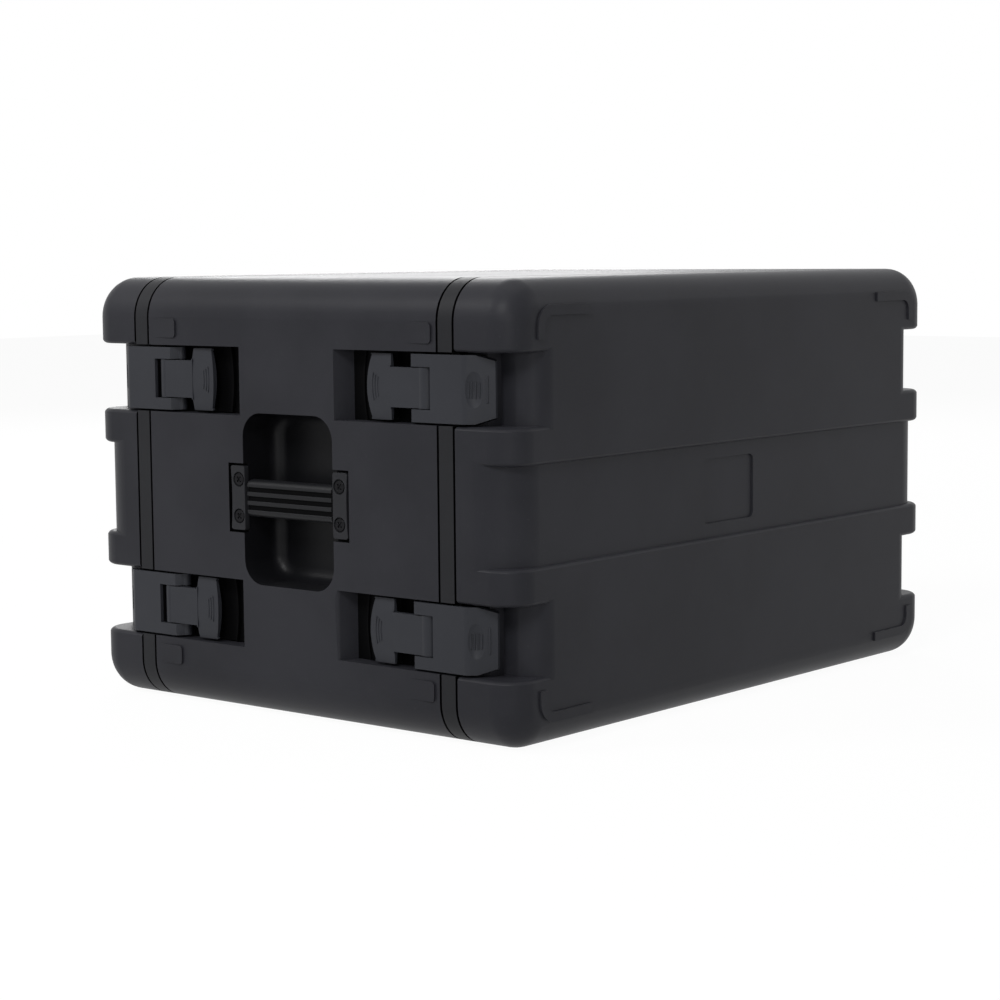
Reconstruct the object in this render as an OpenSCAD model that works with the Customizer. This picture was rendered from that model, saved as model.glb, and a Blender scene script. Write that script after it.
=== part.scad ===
// Rack case, 19 inch, six units high: moulded body, two lift-off lids,
// eight over-centre draw latches, two carrying handles, four rack rails.
// Millimetres, +Z up. The front lid faces -Y, the left side is -X.
// Lengths along the depth are measured from the middle of the case.

/* [Case] */
// Width over the flat sides, without the side pads
case_w = 580; // [540:1:620]
// Height over the flat top and bottom
case_h = 340; // [330:1:420]
// Depth over both closed lids, without the corner ribs
case_d = 444; // [420:1:560]
// Depth of one lid from its seam to its flat face
lid_d = 54; // [45:1:80]
// Width of the rim band between body and lid
rim_w = 15.6; // [12:0.2:24]
// Radius of the four long edges of the case
case_r = 32; // [28:1:45]
// Radius of the lid's front edges
lid_edge_r = 24.5; // [18:0.5:28]
// Moulded wall thickness
wall = 5; // [4:0.5:6]
// Open width of the seam groove at each joint
seam_w = 1.8; // [0.8:0.1:2.4]

/* [Side pads] */
// Length of a wedge pad on the side
pad_len = 27; // [20:1:40]
// Height of a wedge pad
pad_h = 15; // [10:1:25]
// How far the raised end of a pad stands out
pad_rise = 1.6; // [1:0.1:3]
// Distance of the pads from the body's end
pad_gap = 4.2; // [2:0.1:10]
// Height of the pads' centres above and below the middle
pad_row = 130.5; // [120:0.5:140]

/* [Latch recess] */
// Height of a latch row above or below the middle
row_z = 90.5; // [80:0.5:110]
// Height of the latch recess
recess_h = 53; // [50:0.5:60]
// Depth of the latch recess below the side face
recess_d = 15.5; // [14:0.5:18]
// Length of the recess behind the lid seam, at the side face
recess_len = 118; // [110:1:125]
// Length of its flat floor behind the lid seam
floor_len = 111; // [105:0.5:114]
// Wall left behind the recess floor
recess_wall = 4; // [3:0.5:5]

/* [Lid face] */
// Half height of the sunk channel across the lid
channel_half = 36.5; // [30:0.5:45]
// Depth of the channel below the lid face
channel_d = 4; // [2:0.5:6]
// Corner radius of the channel floor
channel_r = 35; // [30:1:40]
// Depth of the corner notch below the side face
notch_d = 27; // [24:0.5:34]
// Radius between the notch floor and the lid face
notch_r = 20; // [8:0.5:22]
// Distance of the catch step in front of the lid seam
catch_in = 19; // [16:0.5:22]
// Radius of the rounded lips of notches and channel
lip_r = 4.5; // [3:0.5:6]
// Width of the blank label recess
label_w = 69.5; // [50:0.5:90]
// Height of the blank label recess
label_h = 51; // [40:0.5:60]
// Sideways offset of the label recess
label_off = 15.75; // [0:0.25:40]
// Depth of the label recess below the channel floor
label_d = 1.6; // [1:0.1:2.5]
// Height the corner ribs stand out
rib_rise = 1.6; // [1:0.1:2.5]
// Width of the corner ribs
rib_w = 7.5; // [6:0.5:10]

/* [Latch] */
// Distance of the lever pivot behind the lid seam
pivot_back = 31.5; // [29:0.5:33]
// Height of the lever pivot above the recess floor
pivot_w = 8.2; // [7.5:0.1:9]
// Distance between lever pivot and plate pivot along the depth
crank_u = 11.5; // [10.5:0.5:15]
// How far the plate pivot lies deeper than the lever pivot
crank_w = 2.2; // [1.5:0.1:3]
// Pin diameter of both latch pivots
pin_d = 5; // [4:0.5:6]
// Running fit of the pins, on the radius
fit = 0.06; // [0.03:0.01:0.1]
// Height of the latch plate
plate_h = 49.5; // [46:0.5:50]
// Thickness of the latch plate and lever
plate_t = 3; // [2.5:0.1:3.5]
// Opening between the plate's fork arms
window_h = 31; // [28:0.5:34]
// Width of the lever stem
stem_h = 30; // [26:0.5:30]
// Length of the lever from its pivot to its tip
lever_len = 54.8; // [48:0.1:58]
// Width of the lever's crossbar along the lever
cross_len = 23.9; // [20:0.1:28]
// Slope of the closed lever towards its tip, in degrees
lever_dip = 1.6; // [0:0.1:3]
// Height of the lever's crossbar
cross_h = 48.7; // [46:0.1:50]

/* [Handle] */
// Length of the handle pocket along the depth
pocket_len = 95; // [90:1:110]
// Height of the handle pocket
pocket_h = 133; // [120:1:140]
// Depth of the handle pocket
pocket_d = 38; // [34:1:42]
// Corner radius of the handle pocket
pocket_r = 19; // [15:1:24]
// Height of the grip bar
grip_h = 28.8; // [24:0.2:34]
// Thickness of the grip bar
grip_t = 13; // [10:0.5:16]
// Height of the end plates
end_h = 50; // [46:1:60]
// Width of the end plates
end_w = 15; // [14:0.5:18]
// Thickness of the end plates
end_t = 4.6; // [4:0.1:5.5]
// Height of the handle screws above or below the middle
screw_row = 14.3; // [12:0.1:18]

/* [Rack] */
// Rack units between the rails
units = 6; // [4:1:6]
// Distance of a rail's inner edge from the side face; leaves 450 mm between rails
rail_side = 65; // [62:0.05:66]
// Distance of the rail holes from that edge; spaces them 465.1 mm apart
hole_in = 7.55; // [7:0.05:8]
// Tapped hole diameter in the rails
rail_hole = 5; // [4.2:0.1:6]
// Sheet thickness of the rails
rail_t = 2; // [1.5:0.1:3]
// Distance of the rails' faces behind the lid seam
rail_in = 38; // [34:1:58]

/* [Hidden] */
half_w = case_w / 2;
half_h = case_h / 2;
half_d = case_d / 2;
lid_u = half_d - lid_d;
lid_back = lid_u + seam_w / 3;
rim_far = lid_back - seam_w;
rim_near = lid_u - rim_w + seam_w / 2;
body_far = rim_near - seam_w;
over = 1;
skin = 0.3;
fine = 96;
row_half = recess_h / 2;
shelf = half_w - recess_d;
bump_x = shelf - recess_wall;
bump_half = row_half + recess_wall;

// Corners of the side pads, and places of the corner ribs from the lid's edges
pad_r = 3;
pad_near = body_far - pad_gap - pad_len;
rib_side = 28;
rib_top = 19.5;
rib_r = 16;
rib_down = 44;
rib_along = 88.5;

// Recess slope: where it is a third deep, and how far it runs on past the side face
slope_mid = 2.4;
slope_run = 22;
recess_near = lid_u - recess_len;
recess_flat = lid_u - floor_len;
flat_over = 1.5;
flat_half = half_h - case_r + flat_over;
frame_lap = 3;
frame_edge = 6;
frame_y = recess_near + frame_lap;
frame_z = pocket_h / 2 + frame_edge;

// Seam, spigot and gasket
groove_d = 2.5;
spigot_t = 3;
spigot_len = 12;
rim_in = 4;
tongue_len = 9;
tongue_gap = 0.8;
tongue_t = 2.5;
gasket_t = 0.8;

// Latch, in distances along the depth from the catch step or the lever pivot
notch_near = lid_u + catch_in;
pivot_u = lid_u - pivot_back;
plate_u = pivot_u - crank_u;
plate_w = pivot_w - crank_w;
pin_r = pin_d / 2;
barrel_r = 6.6;
lug_half = 4.8;
lug_r = 4.9;
lug_over = 1.2;
lug_back = 23.7;
cheek_in = lug_half + skin;
eye_r = 4.2;
window_half = window_h / 2;
window_gap = 2.3;
window_far = pivot_u + barrel_r + window_gap;
arm_near = plate_u + pin_r;
bend_back = 9.5;
hook_w = 6;
tip_in = 7.4;
bend_u = notch_near - bend_back;
hook_gap = 1.4;
hook_u = notch_near + hook_gap;
hook_dip = 3.3;
hook_rest = 0.05;
hook_lean = 0.9;
hook_end = notch_near + hook_w;
tip_u = notch_near + tip_in;
tip_w = 0.4;
tip_cut_u = 11;
tip_cut_z = 4.5;
fold_r = 7;
fold_a = atan2(recess_d - tip_w, tip_u - bend_u);
fold_t = fold_r * tan(fold_a / 2);
step_lean = 3.1;
cross_t = 4.4;
cross_drop = 4;
cross_slant = 1;
cross_camber = 2;
cross_step = 0.5;
cheek_r = 3.7;
cheek_t = stem_h / 2 - 2 * skin - cheek_in;
foot_t = 1.6;
foot_gap = 9;
foot_len = 28.5;
foot_far = pivot_u - foot_gap;
foot_near = foot_far - foot_len;
foot_half = 13;
shoe_back = 11.5;
shoe_lap = 4;
shoe_play = 1;
shoe_near = recess_flat + shoe_back;
shoe_far = foot_near + shoe_lap;
shoe_half = recess_h / 2 - shoe_play;
shoe_arc = 2.6;
lip_w = 1.8;
lip_t = 3.2;
rivet_in = 8;
rivet_u = foot_near + rivet_in;
rivet_z = 9;
rivet_r = 2;
rivet_head_r = 3.4;
rivet_head_t = 1;

// Handle
grip_r = 5;
end_r = 2;
end_bow_r = 260;
end_lap = 0.7;
end_near = pocket_len / 2 - end_lap;
end_gap = 2;
end_deep = 5;
tongue_half = 9;
tongue_in = 10.2;
tongue_far = end_near + tongue_in;
tongue_lap = 5;
screw_in = 6.6;
screw_u = end_near + screw_in;
screw_r = 2.4;
screw_head_r = 4.8;
screw_head_t = 2.2;
screw_len = 18;
sink_r = 5.8;
sink_d = 2.6;
slot_w = 1.4;
slot_len = 5.4;
slot_deep = 1.2;
boss_lap = 7.5;
boss_w = 26;
boss_near = pocket_len / 2 - boss_lap;
boss_far = boss_near + boss_w;
boss_half = 30;
boss_deep = 27;
groove_w = 3.7;
groove_deep = 1.6;
groove_step = 7;
groove_rows = [-groove_step, 0, groove_step];
strap_h = 14;
strap_t = 3;
pocket_edge_r = 11;

// Rack
unit_h = 44.45;
hole_first = 6.35;
hole_step = 15.875;
hole_rows = [hole_first, hole_first + hole_step, hole_first + 2 * hole_step];
rack_h = units * unit_h;
rail_end = 4;
rail_half = rack_h / 2 + rail_end;
rail_u = lid_u - rail_in;
rail_x = half_w - rail_side;
post_t = 24;
rail_out = half_w - post_t;
rail_back = 30;
post_end = 7.35;
post_low = 40;
post_rows = [-rail_half + post_end, -post_low, post_low, rail_half - post_end];
post_half = 8;
post_gap = 6;
post_far = rail_u - post_gap;
post_near = rail_u - rail_back + rail_t;
post_screw_r = 2.4;
post_head_r = 4.4;
post_head_t = 2;
post_screw_len = 14;

// Plane outlines, seen along the depth and centred on the case

module rounded(w, h, r) {
    square([w - 2 * r, h], center = true);
    square([w, h - 2 * r], center = true);
    for (sx = [-1, 1]) for (sy = [-1, 1])
        translate([sx * (w / 2 - r), sy * (h / 2 - r)]) circle(r = r, $fn = fine);
}

module at_rows2d(x, half) {
    for (s = [-1, 1]) for (r = [-1, 1])
        translate([s * (x + wall * 4), r * row_z]) square([wall * 8, 2 * half], center = true);
}

// Outside of the wall, moved inward by o
module outer2d(o) {
    difference() {
        rounded(case_w - 2 * o, case_h - 2 * o, case_r - o);
        at_rows2d(shelf - o, row_half + o);
    }
}

// Clear opening inside the wall, moved inward by o
module opening2d(o) {
    difference() {
        rounded(case_w - 2 * wall - 2 * o, case_h - 2 * wall - 2 * o, case_r - wall - o);
        at_rows2d(bump_x - o, bump_half + o);
    }
}

// Stand a plane outline across the case, from depth u0 to u1 on the front side
module across(u0, u1) {
    translate([0, -u0, half_h]) rotate([90, 0, 0]) linear_extrude(u1 - u0) children();
}

module front() { children(); }
module rear() { rotate([0, 0, 180]) children(); }

// Latch frame: x out of the recess floor, y along the depth, z from the row
module at_latch(e, s, r) {
    mirror([s < 0 ? 1 : 0, 0, 0]) mirror([0, e < 0 ? 1 : 0, 0])
        translate([shelf, 0, half_h + r * row_z]) children();
}

module all_latches() {
    for (e = [-1, 1]) for (s = [-1, 1]) for (r = [-1, 1]) at_latch(e, s, r) children();
}

module upright(half) { translate([0, 0, -half]) linear_extrude(2 * half) children(); }

// Side frame: x out of the side face, y along the depth, z from the middle
module at_side(s) {
    mirror([s < 0 ? 1 : 0, 0, 0]) translate([half_w, 0, half_h]) children();
}

// Both ends of a handle
module both_ends() { for (e = [0, 1]) mirror([0, e, 0]) children(); }

// Block with a rounded outline and a rounded front edge, standing on z = 0
module rim2d(r, d, e) {
    square([r - e, d]);
    square([r, d - e]);
    translate([r - e, d - e]) circle(r = e, $fn = fine);
}

module bar2d(a, d, e) {
    translate([-a + e, 0]) square([2 * a - 2 * e, d]);
    translate([-a, 0]) square([2 * a, d - e]);
    for (s = [-1, 1]) translate([s * (a - e), d - e]) circle(r = e, $fn = fine);
}

module block(w, h, d, rc, e) {
    for (sx = [-1, 1]) for (sy = [-1, 1]) translate([sx * (w / 2 - rc), sy * (h / 2 - rc), 0])
        rotate_extrude($fn = fine) intersection() { rim2d(rc, d, e); square([rc, d]); }
    rotate([90, 0, 90]) translate([0, 0, -(w / 2 - rc)])
        linear_extrude(w - 2 * rc) bar2d(h / 2, d, e);
    rotate([90, 0, 0]) translate([0, 0, -(h / 2 - rc)])
        linear_extrude(h - 2 * rc) bar2d(w / 2, d, e);
}

// Slab seen from above: the lid's plan outline with rounded lips, from z0 to z1
module lip2d(a, h, r) {
    translate([-a + r, 0]) square([2 * a - 2 * r, h]);
    translate([-a, r]) square([2 * a, h - 2 * r]);
    for (s = [-1, 1]) for (z = [r, h - r]) translate([s * (a - r), z]) circle(r = r, $fn = fine);
}

module slab(z0, z1) {
    a = half_w + skin;
    b = half_d + skin;
    rc = lid_edge_r + skin;
    h = z1 - z0;
    translate([0, 0, z0]) {
        for (s = [-1, 1]) translate([s * (a - rc), b - rc, 0])
            rotate_extrude($fn = fine) intersection() { lip2d(rc, h, lip_r); square([rc, h]); }
        translate([0, b - rc, 0]) rotate([90, 0, 0]) linear_extrude(b - rc - lid_u + wall)
            lip2d(a, h, lip_r);
        translate([-a + rc, 0, 0]) rotate([90, 0, 90]) linear_extrude(2 * a - 2 * rc)
            intersection() { lip2d(b, h, lip_r); square([b, h]); }
    }
}

// Plan outline of the sunk channel, moved inward by o
module channel_plan(o) {
    a = half_w - o;
    b = half_d - channel_d - o;
    r = channel_r - o;
    translate([-a + r, 0]) square([2 * a - 2 * r, b]);
    translate([-a, 0]) square([2 * a, b - r]);
    for (s = [-1, 1]) translate([s * (a - r), b - r]) circle(r = r, $fn = fine);
}

// Plan outline of the corner notches with the leaning catch step
module notch_plan() {
    x = half_w - notch_d;
    y = notch_near + step_lean;
    polygon([[-shelf, 0], [shelf, 0], [shelf, notch_near], [x, y], [x, half_d - notch_r],
        [x - notch_r, half_d], [-x + notch_r, half_d], [-x, half_d - notch_r],
        [-x, y], [-shelf, notch_near]]);
    for (s = [-1, 1]) translate([s * (x - notch_r), half_d - notch_r]) circle(r = notch_r, $fn = fine);
}

module notch_inside() {
    x = half_w - notch_d - recess_wall;
    y = notch_near - recess_wall;
    r = notch_r - recess_wall;
    polygon([[-bump_x, 0], [bump_x, 0], [bump_x, y], [x, y], [x, half_d - notch_r],
        [x - r, half_d - recess_wall], [-x + r, half_d - recess_wall], [-x, half_d - notch_r],
        [-x, y], [-bump_x, y]]);
    for (s = [-1, 1]) translate([s * (x - r), half_d - notch_r]) circle(r = r, $fn = fine);
}

module lid_solid() {
    translate([0, -lid_u, half_h]) rotate([90, 0, 0])
        block(case_w, case_h, lid_d, case_r, lid_edge_r);
}

module lid_bands() {
    translate([0, 0, half_h]) mirror([0, 1, 0]) {
        for (m = [0, 1]) mirror([0, 0, m]) {
            slab(row_z + row_half, half_h + wall);
            slab(channel_half, row_z - row_half);
            translate([0, 0, row_z]) upright(row_half + lip_r) notch_plan();
        }
        upright(channel_half + lip_r) channel_plan(0);
    }
}

module lid_hollow() {
    difference() {
        translate([0, -lid_u + over, half_h]) rotate([90, 0, 0])
            block(case_w - 2 * wall, case_h - 2 * wall, lid_d - wall + over,
                case_r - wall, lid_edge_r - wall);
        translate([0, 0, half_h]) mirror([0, 1, 0]) {
            upright(channel_half + wall) difference() {
                translate([-case_w, 0]) square([2 * case_w, case_d]);
                channel_plan(wall);
            }
            for (r = [-1, 1]) translate([0, 0, r * row_z]) upright(bump_half) difference() {
                translate([-case_w, 0]) square([2 * case_w, case_d]);
                notch_inside();
            }
        }
    }
}

module corner_rib2d() {
    x = half_w - rib_side;
    y = half_h - rib_top;
    low = half_h - rib_down;
    near = half_w - rib_along;
    difference() {
        union() {
            translate([x - rib_w, low]) square([rib_w, y - rib_r - low]);
            translate([near, y - rib_w]) square([x - rib_r - near, rib_w]);
            translate([x - rib_r, y - rib_r]) intersection() {
                circle(r = rib_r, $fn = fine);
                square([rib_r, rib_r]);
            }
        }
        translate([x - rib_r, y - rib_r]) circle(r = rib_r - rib_w, $fn = fine);
    }
}

module lid() {
    difference() {
        intersection() {
            lid_solid();
            lid_bands();
        }
        lid_hollow();
        across(lid_u - over, lid_back) square([2 * case_w, 2 * case_h], center = true);
        translate([-label_off, -half_d + channel_d + label_d, half_h]) rotate([90, 0, 0])
            linear_extrude(wall) rounded(label_w, label_h, wall);
    }
    for (sx = [0, 1]) for (sy = [0, 1])
        across(half_d - over, half_d + rib_rise) mirror([sx, 0]) mirror([0, sy]) corner_rib2d();
}

// Recess of one latch in body and rim, in the latch frame
module recess_plan() {
    polygon([[0, recess_flat], [recess_d / 3, recess_flat - slope_mid], [recess_d, recess_near],
        [2 * recess_d, recess_near - slope_run], [2 * recess_d, lid_u + over], [0, lid_u + over]]);
}

module pad(y0) {
    translate([half_w, y0, 0]) rotate([90, 0, 90]) translate([0, 0, -over])
        intersection() {
            linear_extrude(2 * wall) union() {
                translate([pad_r, 0]) square([pad_len, pad_h]);
                translate([0, pad_r]) square([pad_len, pad_h - 2 * pad_r]);
                for (z = [pad_r, pad_h - pad_r]) translate([pad_r, z]) circle(r = pad_r, $fn = fine);
            }
            rotate([-90, 0, 0]) linear_extrude(pad_h)
                polygon([[0, 0], [0, -over - pad_rise], [pad_len, -over], [pad_len, 0]]);
        }
}

module pads() {
    for (z = [-1, 1]) for (y0 = [-pad_near - pad_len, pad_near])
        translate([0, 0, half_h + z * pad_row - pad_h / 2]) pad(y0);
}

// Moulded body. The real one is a single moulding with its side walls, latch trays and
// handle cups. They are drawn as solids that meet, so that the collision pieces leave the
// recesses open
module body_tube() {
    across(-body_far, body_far) difference() {
        rounded(case_w, case_h, case_r);
        rounded(case_w - 2 * wall, case_h - 2 * wall, case_r - wall);
    }
}

// Room of the flat side walls, a little more than the body's flat height
module wall_rooms() {
    for (s = [-1, 1]) at_side(s) translate([-2 * wall, -lid_u, -flat_half])
        cube([3 * wall, 2 * lid_u, 2 * flat_half]);
}

module body_shell() {
    color([0.2, 0.2, 0.21]) difference() {
        body_tube();
        wall_rooms();
    }
}

// Side walls of the body, open for the latch trays and handle cups, with their pads
module side_walls() {
    color([0.2, 0.2, 0.21]) {
        difference() {
            intersection() {
                body_tube();
                wall_rooms();
            }
            all_latches() upright(row_half) recess_plan();
            for (s = [-1, 1]) at_side(s) {
                handle_cuts();
                translate([-2 * wall, -frame_y, -frame_z]) cube([3 * wall, 2 * frame_y, 2 * frame_z]);
            }
        }
        pads();
        rotate([0, 0, 180]) pads();
    }
}

// Outside of one latch tray, in the latch frame
module tray_block() {
    low = recess_near - recess_wall;
    translate([-recess_wall, low, -bump_half])
        cube([recess_wall + recess_d - wall, body_far - low, 2 * bump_half]);
}

// Trays behind the latch openings, their rims against the inside of the side wall
module latch_trays() {
    color([0.2, 0.2, 0.21]) all_latches() difference() {
        tray_block();
        upright(row_half) recess_plan();
        for (z = [-1, 1]) translate([-2 * recess_wall, rivet_u, z * rivet_z])
            rotate([0, 90, 0]) cylinder(h = 4 * recess_wall, r = rivet_r);
    }
}

// Cup behind one handle opening, with the bosses that take the handle's screws
module handle_cup() {
    color([0.2, 0.2, 0.21]) difference() {
        union() {
            translate([-pocket_d - wall, -pocket_len / 2 - wall, -pocket_h / 2 - wall])
                cube([pocket_d, pocket_len + 2 * wall, pocket_h + 2 * wall]);
            translate([-wall, -frame_y, -frame_z]) cube([wall, 2 * frame_y, 2 * frame_z]);
            both_ends() translate([-boss_deep, boss_near, -boss_half])
                cube([boss_deep - wall, boss_far - boss_near, 2 * boss_half]);
        }
        handle_cuts();
        both_ends() for (r = [-1, 1]) translate([-recess_d, 0, r * row_z]) {
            tray_block();
            upright(row_half) recess_plan();
        }
    }
}

module handle_cuts() {
    translate([wall, 0, 0]) rotate([0, -90, 0]) rotate([0, 0, 90])
        block(pocket_len, pocket_h, pocket_d + wall, pocket_r, pocket_edge_r);
    both_ends() {
        translate([-end_deep, end_near - end_gap, -end_h / 2 - end_gap])
            cube([2 * end_deep, end_w + 2 * end_gap, end_h + 2 * end_gap]);
        translate([-end_deep - tongue_lap - skin, end_near - end_gap, -tongue_half - skin])
            cube([2 * tongue_lap, tongue_far - end_near + end_gap + skin, 2 * (tongue_half + skin)]);
        for (z = [-1, 1]) translate([-end_deep - screw_len, screw_u, z * screw_row])
            rotate([0, 90, 0]) cylinder(h = screw_len + over, r = screw_r);
    }
}

// Blocks on the inside of the side walls that carry the rack rails
module rail_bosses() {
    color([0.2, 0.2, 0.21]) for (s = [-1, 1]) at_side(s) both_ends() for (z = post_rows) difference() {
        translate([-post_t, post_near, z - post_half])
            cube([post_t - wall, post_far - post_near, 2 * post_half]);
        translate([-post_t - over, (post_near + post_far) / 2, z])
            rotate([0, 90, 0]) cylinder(h = post_screw_len + over, r = post_screw_r);
    }
}

module rim_ring() {
    color([0.17, 0.17, 0.17]) difference() {
        union() {
            across(rim_near, rim_far) outer2d(0);
            across(body_far, rim_near) outer2d(groove_d);
            across(body_far - spigot_len, body_far) opening2d(0);
            across(rim_far, rim_far + tongue_len) opening2d(tongue_gap);
        }
        across(body_far - spigot_len - over, rim_far) opening2d(spigot_t);
        across(rim_far - over, rim_far + tongue_len + over) opening2d(tongue_gap + tongue_t);
    }
}

module gasket() {
    color([0.05, 0.05, 0.05]) across(rim_far, rim_far + gasket_t) difference() {
        outer2d(groove_d);
        opening2d(tongue_gap / 2);
    }
}

// Latch lever: crossbar, stem, barrel round its pivot, trunnions for the plate.
// Outline with the pivot at zero: along the lever, across it
module lever_outline() {
    c = cross_h / 2;
    s = stem_h / 2 - skin;
    far = -lever_len + cross_len;
    big = (c * c + cross_drop * cross_drop) / (2 * cross_drop);
    intersection() {
        polygon([[-lever_len, -c], [far - cross_slant, -c], [far, -s], [0, -s],
            [0, s], [far, s], [far - cross_slant, c], [-lever_len, c]]);
        union() {
            translate([big - lever_len, 0]) circle(r = big, $fn = fine);
            translate([far - cross_slant, -c]) square([lever_len, 2 * c]);
        }
    }
}

// Flat part of the lever, its crossbar cambered across, in a frame at the pivot
module lever_flat() {
    c = cross_h / 2;
    big = (c * c + cross_camber * cross_camber) / (2 * cross_camber);
    intersection() {
        translate([barrel_r - cross_t, 0, 0]) rotate([90, 0, 90])
            linear_extrude(cross_t - skin) lever_outline();
        union() {
            translate([barrel_r - cross_step - big, -lever_len + cross_len, 0]) rotate([90, 0, 0])
                cylinder(h = cross_len + over, r = big, $fn = fine);
            upright(stem_h / 2 + over) translate([0, -lever_len + cross_len - over])
                square([barrel_r, lever_len]);
        }
    }
}

module lever() {
    color([0.22, 0.22, 0.24]) difference() {
        union() {
            translate([pivot_w, pivot_u, 0]) rotate([0, 0, -lever_dip]) lever_flat();
            translate([pivot_w, pivot_u, -stem_h / 2]) cylinder(h = stem_h, r = barrel_r, $fn = fine);
            for (m = [0, 1]) mirror([0, 0, m]) {
                translate([0, 0, cheek_in]) linear_extrude(cheek_t) polygon([
                    [plate_w - cheek_r, plate_u], [pivot_w - barrel_r + skin, pivot_u],
                    [pivot_w + barrel_r - over, pivot_u],
                    [pivot_w + barrel_r - cross_t / 2, plate_u - 2 * cheek_r]]);
                translate([plate_w, plate_u, cheek_in])
                    cylinder(h = cheek_t, r = cheek_r, $fn = fine);
                translate([plate_w, plate_u, cheek_in])
                    cylinder(h = plate_h / 2 - over / 2 - cheek_in, r = pin_r, $fn = fine);
            }
        }
        translate([pivot_w, pivot_u, -stem_h]) cylinder(h = 2 * stem_h, r = pin_r + fit, $fn = fine);
        translate([pivot_w, pivot_u, -cheek_in])
            cylinder(h = 2 * cheek_in, r = lug_r + skin, $fn = fine);
        upright(cheek_in) translate([-over, pivot_u - barrel_r - over])
            square([pivot_w + over, 2 * barrel_r + 2 * over]);
    }
}

// Latch plate: fork arms with eyes, flat, folded end and hook
module plate_plan() {
    t = plate_t;
    u = bend_u - fold_t;
    difference() {
        polygon([[recess_d - t, arm_near], [recess_d, arm_near], [recess_d, bend_u],
            [tip_w, tip_u], [-hook_dip / 2, tip_u], [-hook_dip, hook_end],
            [-hook_dip, hook_u + hook_lean], [hook_rest, hook_u], [recess_d - t, bend_u - t / 2]]);
        difference() {
            polygon([[recess_d, u], [recess_d + over, bend_u],
                [recess_d - fold_t * sin(fold_a), bend_u + fold_t * cos(fold_a)]]);
            translate([recess_d - fold_r, u]) circle(r = fold_r, $fn = fine);
        }
    }
}

module plate() {
    color([0.23, 0.24, 0.26]) difference() {
        union() {
            upright(plate_h / 2) plate_plan();
            upright(plate_h / 2) {
                translate([plate_w, plate_u]) circle(r = eye_r, $fn = fine);
                polygon([[plate_w, plate_u - eye_r], [plate_w, plate_u + eye_r],
                    [recess_d - plate_t, arm_near + 2 * eye_r], [recess_d, arm_near + 2 * eye_r],
                    [recess_d, arm_near]]);
            }
        }
        translate([-recess_d, 0, -window_half]) cube([4 * recess_d, window_far, window_h]);
        translate([plate_w, plate_u, -plate_h]) cylinder(h = 2 * plate_h, r = pin_r + fit, $fn = fine);
        for (m = [0, 1]) mirror([0, 0, m]) translate([-recess_d, tip_u, plate_h / 2]) rotate([90, 0, 90])
            linear_extrude(4 * recess_d) polygon([[-tip_cut_u, 0], [0, -tip_cut_z],
                [over, -tip_cut_z], [over, over], [-tip_cut_u, over]]);
    }
}

// Outline of the bracket's wide foot under the crossbar, its near end bowed, with side up as x
module shoe_outline(inset) {
    big = (shoe_half * shoe_half + shoe_arc * shoe_arc) / (2 * shoe_arc);
    intersection() {
        translate([-shoe_half, shoe_near + inset]) square([2 * shoe_half, shoe_far - shoe_near - inset]);
        translate([0, shoe_near + inset + big]) circle(r = big, $fn = fine);
    }
}

module latch_base() {
    translate([0, foot_near, -foot_half]) cube([foot_t, foot_far - foot_near, 2 * foot_half]);
    rotate([0, -90, 0]) mirror([0, 0, 1]) {
        linear_extrude(foot_t + skin) shoe_outline(0);
        linear_extrude(lip_t) difference() {
            shoe_outline(0);
            shoe_outline(lip_w);
        }
    }
    difference() {
        union() {
            translate([0, pivot_u - lug_back, -lug_half]) cube([pivot_w / 2, lug_back, 2 * lug_half]);
            translate([0, pivot_u - lug_r, -lug_half])
                cube([pivot_w, lug_r + lug_over, 2 * lug_half]);
            translate([pivot_w, pivot_u, -lug_half])
                cylinder(h = 2 * lug_half, r = lug_r, $fn = fine);
        }
        translate([pivot_w, pivot_u, -stem_h]) cylinder(h = 2 * stem_h, r = pin_r, $fn = fine);
    }
}

module latch_bases() {
    color([0.3, 0.3, 0.31]) difference() {
        all_latches() latch_base();
        all_latches() for (z = [-1, 1]) translate([-over, rivet_u, z * rivet_z])
            rotate([0, 90, 0]) cylinder(h = 4 * foot_t, r = rivet_r);
    }
}

module latch_pins() {
    color([0.55, 0.55, 0.56]) all_latches() translate([pivot_w, pivot_u, -stem_h / 2])
        cylinder(h = stem_h, r = pin_r, $fn = fine);
}

module latch_rivets() {
    color([0.5, 0.5, 0.5]) all_latches() for (z = [-1, 1]) translate([0, rivet_u, z * rivet_z])
        rotate([0, 90, 0]) {
            translate([0, 0, -recess_wall]) cylinder(h = recess_wall + foot_t, r = rivet_r);
            translate([0, 0, foot_t]) cylinder(h = rivet_head_t, r = rivet_head_r);
            translate([0, 0, -recess_wall - rivet_head_t]) cylinder(h = rivet_head_t, r = rivet_head_r);
        }
}

// Handle grip bar with three long grooves and a tongue under each end plate
module grip() {
    h = grip_h / 2;
    color([0.15, 0.15, 0.15]) difference() {
        union() {
            translate([0, end_near - end_gap, 0]) rotate([90, 0, 0])
                linear_extrude(2 * (end_near - end_gap)) translate([-grip_t / 2 - over, 0])
                    rounded(grip_t, grip_h, grip_r);
            translate([-end_deep - tongue_lap, -tongue_far, -tongue_half])
                cube([tongue_lap, 2 * tongue_far, 2 * tongue_half]);
        }
        for (z = groove_rows) translate([-over - groove_deep, -pocket_len, z - groove_w / 2])
            cube([2 * groove_deep, 2 * pocket_len, groove_w]);
        translate([-end_deep - tongue_lap / 2 - strap_t / 2 - fit, -pocket_len, -strap_h / 2 - fit])
            cube([strap_t + 2 * fit, 2 * pocket_len, strap_h + 2 * fit]);
    }
}

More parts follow.
